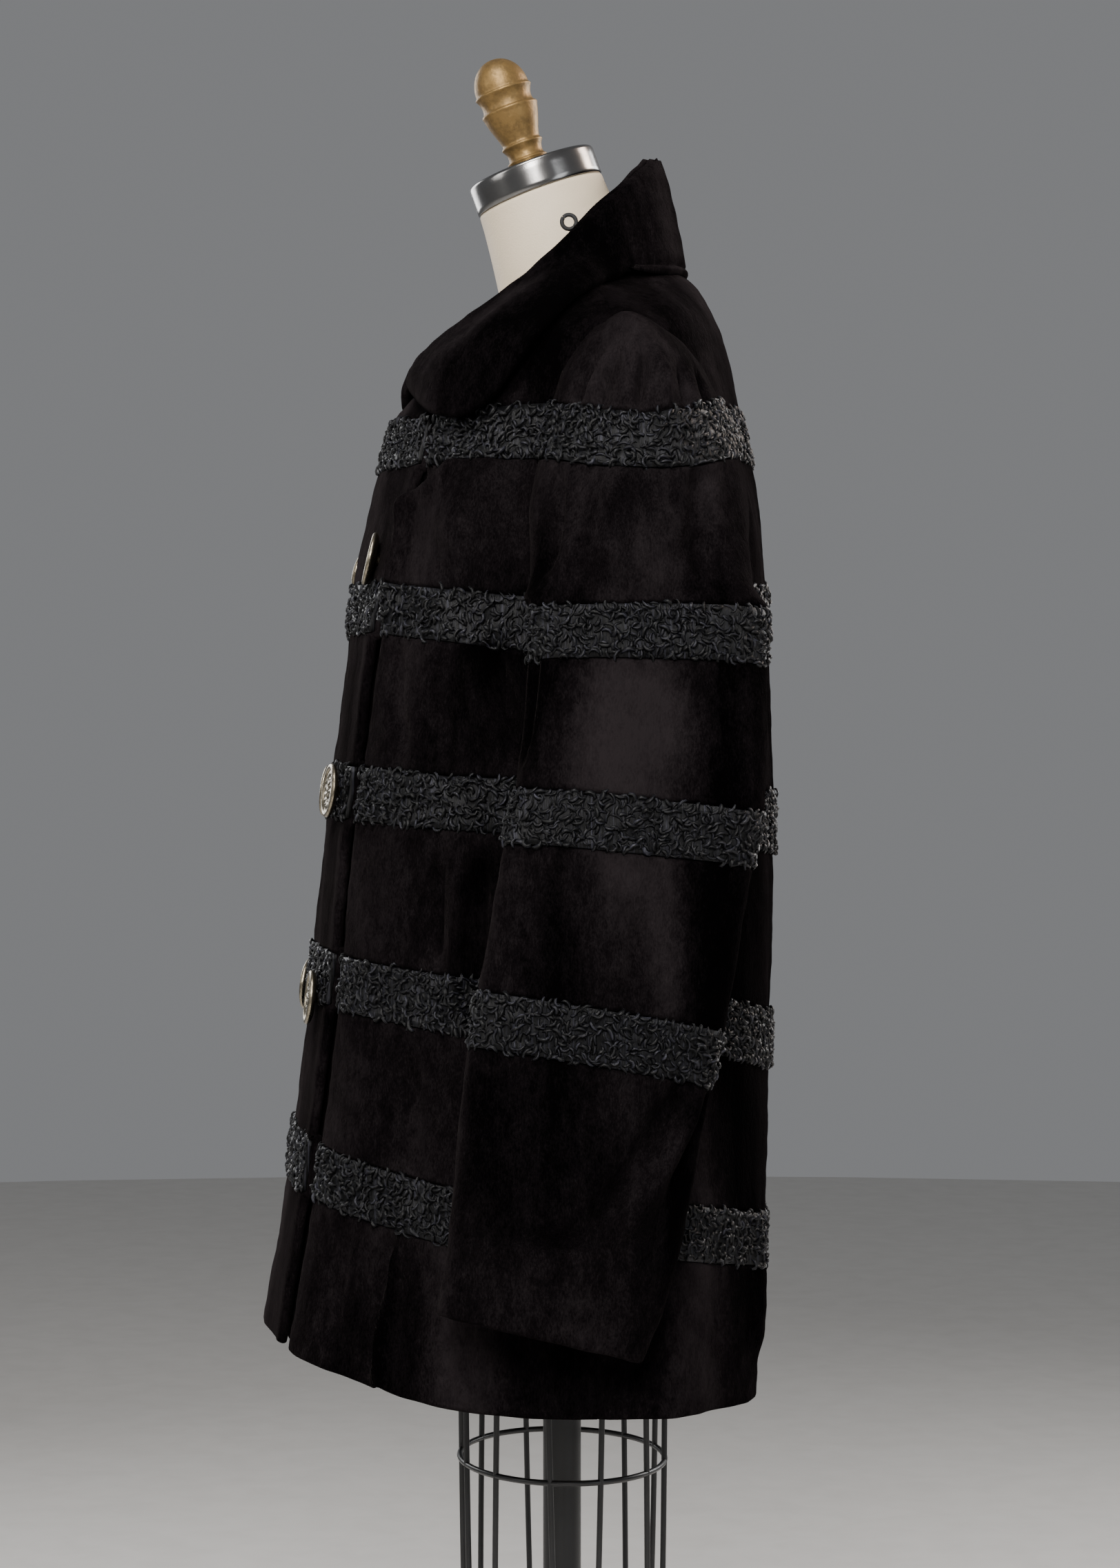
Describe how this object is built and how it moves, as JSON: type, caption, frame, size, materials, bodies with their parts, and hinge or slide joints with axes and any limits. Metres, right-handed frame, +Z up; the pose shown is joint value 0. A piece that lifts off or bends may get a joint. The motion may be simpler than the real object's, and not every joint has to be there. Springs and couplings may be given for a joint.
{
  "type": "fur coat on a dress form",
  "caption": "Hip-length double-breasted sheared fur coat with curly inset bands, big turned-down collar and metal shank buttons, worn by a dress form on a pole and round base.",
  "frame": {"origin": "centre of the round base's underside, on the axis of the pole, at floor level", "axes": "+Z up along the pole; the wearer faces -Y; the wearer's left is +X"},
  "size_m": [0.642, 0.415, 1.5655],
  "materials": {
    "mink": "sheared mink, short dense velvety nap, brown-black",
    "lamb": "curly lamb, tight glossy charcoal curls",
    "cord": "black braided cord",
    "button_metal": "antique silver with a smooth rim and an embossed face",
    "form_skin": "cream fine-grained covering",
    "neck_chrome": "chrome, finely brushed round",
    "finial_gold": "antique gold, pitted and worn",
    "black_steel": "black satin paint"
  },
  "bodies": {
    "root": {"front_left": "mink", "front_right": "mink", "back": "mink", "sleeve_left": "mink", "sleeve_right": "mink", "collar": "mink", "front_left_band1": "lamb", "front_left_band2": "lamb", "front_left_band3": "lamb", "front_left_band4": "lamb", "front_left_band5": "lamb", "front_right_band1": "lamb", "front_right_band2": "lamb", "front_right_band3": "lamb", "front_right_band4": "lamb", "front_right_band5": "lamb", "back_band1": "lamb", "back_band2": "lamb", "back_band3": "lamb", "back_band4": "lamb", "back_band5": "lamb", "sleeve_left_band1": "lamb", "sleeve_left_band2": "lamb", "sleeve_left_band3": "lamb", "sleeve_left_band4": "lamb", "sleeve_right_band1": "lamb", "sleeve_right_band2": "lamb", "sleeve_right_band3": "lamb", "sleeve_right_band4": "lamb", "neck_loop": "cord", "button_left_top": "button_metal", "button_right_top": "button_metal", "button_left_mid": "button_metal", "button_right_mid": "button_metal", "button_left_low": "button_metal", "button_right_low": "button_metal", "form_torso": "form_skin", "form_neck_cap": "neck_chrome", "form_finial": "finial_gold", "form_cage": "black_steel", "form_pole": "black_steel", "form_base": "black_steel"}
  },
  "joints": []
}
